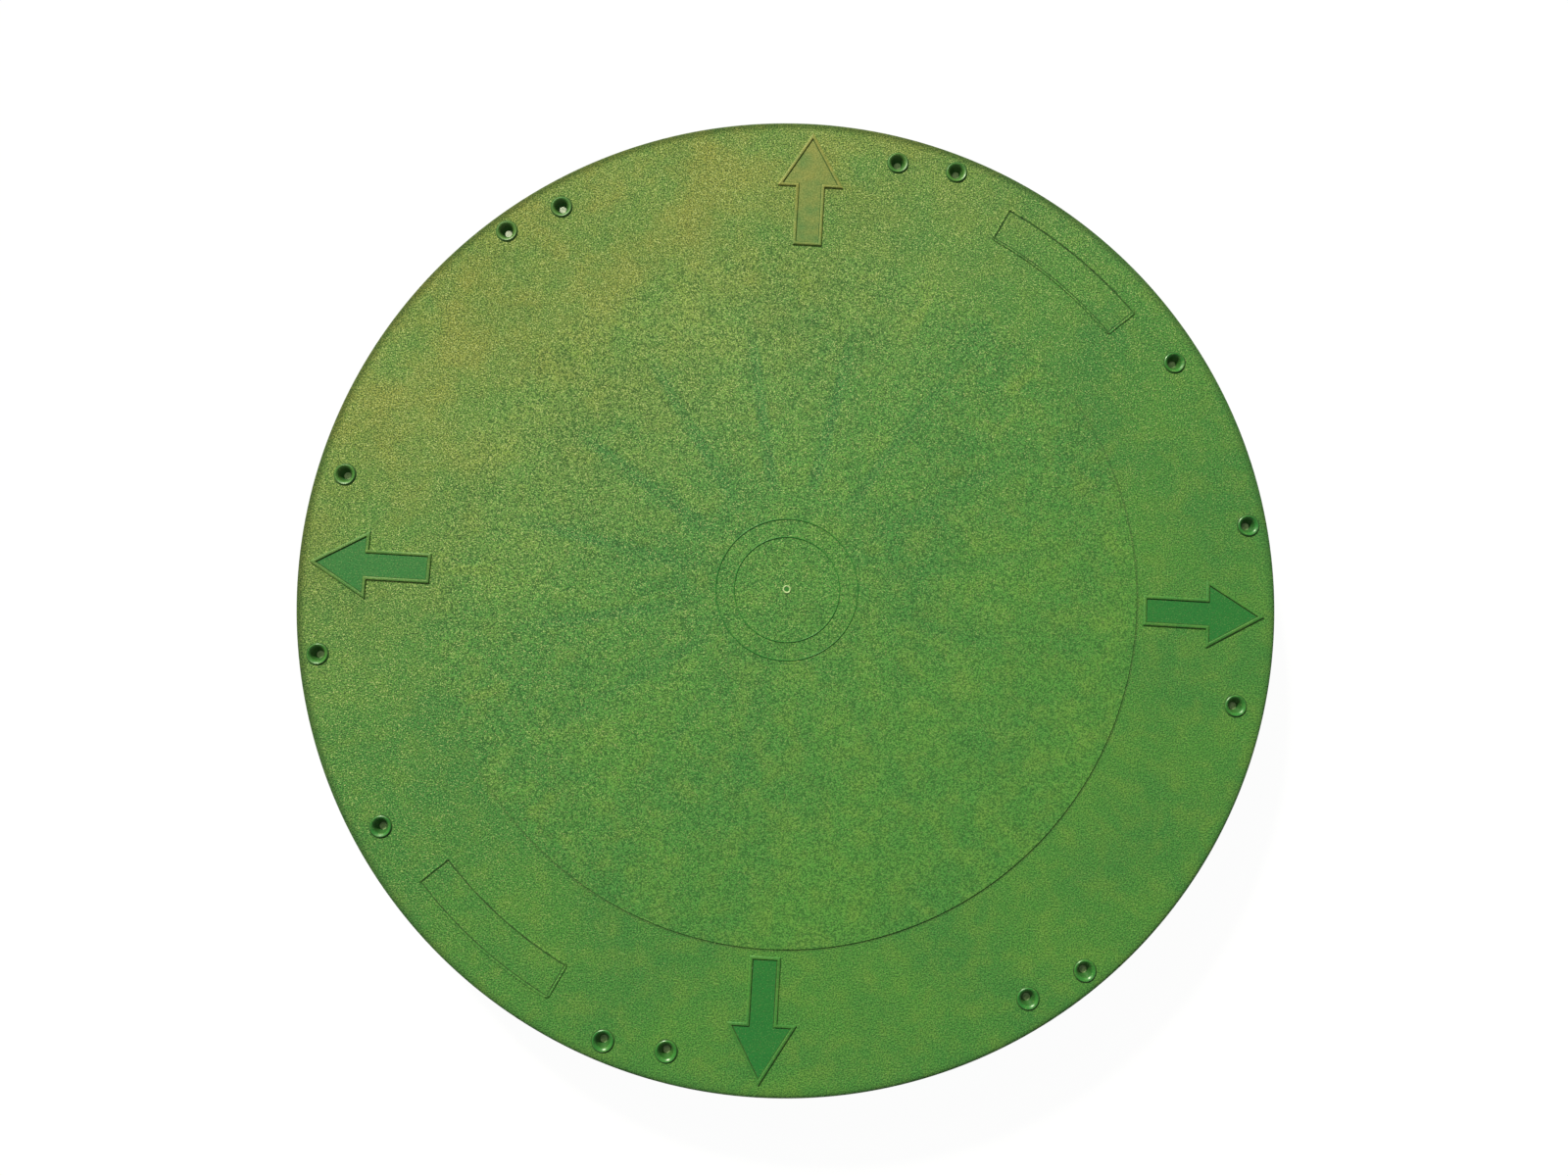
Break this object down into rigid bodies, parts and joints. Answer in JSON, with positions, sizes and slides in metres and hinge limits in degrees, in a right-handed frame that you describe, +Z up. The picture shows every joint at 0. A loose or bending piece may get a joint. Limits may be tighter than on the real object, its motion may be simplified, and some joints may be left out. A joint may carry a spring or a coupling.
{
  "type": "septic tank riser cover",
  "caption": "Round moulded green cover for a septic riser, with rim skirt, blind screw recesses, raised arrows and a ribbed, sealed underside.",
  "frame": {"origin": "middle of the circle that the skirt's lower edge stands on", "axes": "+Z up through the top, +Y towards the first arrow's tip, +X towards the second arrow's tip"},
  "size_m": [0.6618, 0.6618, 0.0509],
  "materials": {
    "moulded_polyethylene": "fine stippled green moulded polyethylene, smooth on raised marks",
    "foam_seal": "dark closed-cell foam with a skin"
  },
  "bodies": {
    "root": {"lid": "moulded_polyethylene", "rim_gasket": "foam_seal"}
  },
  "joints": []
}
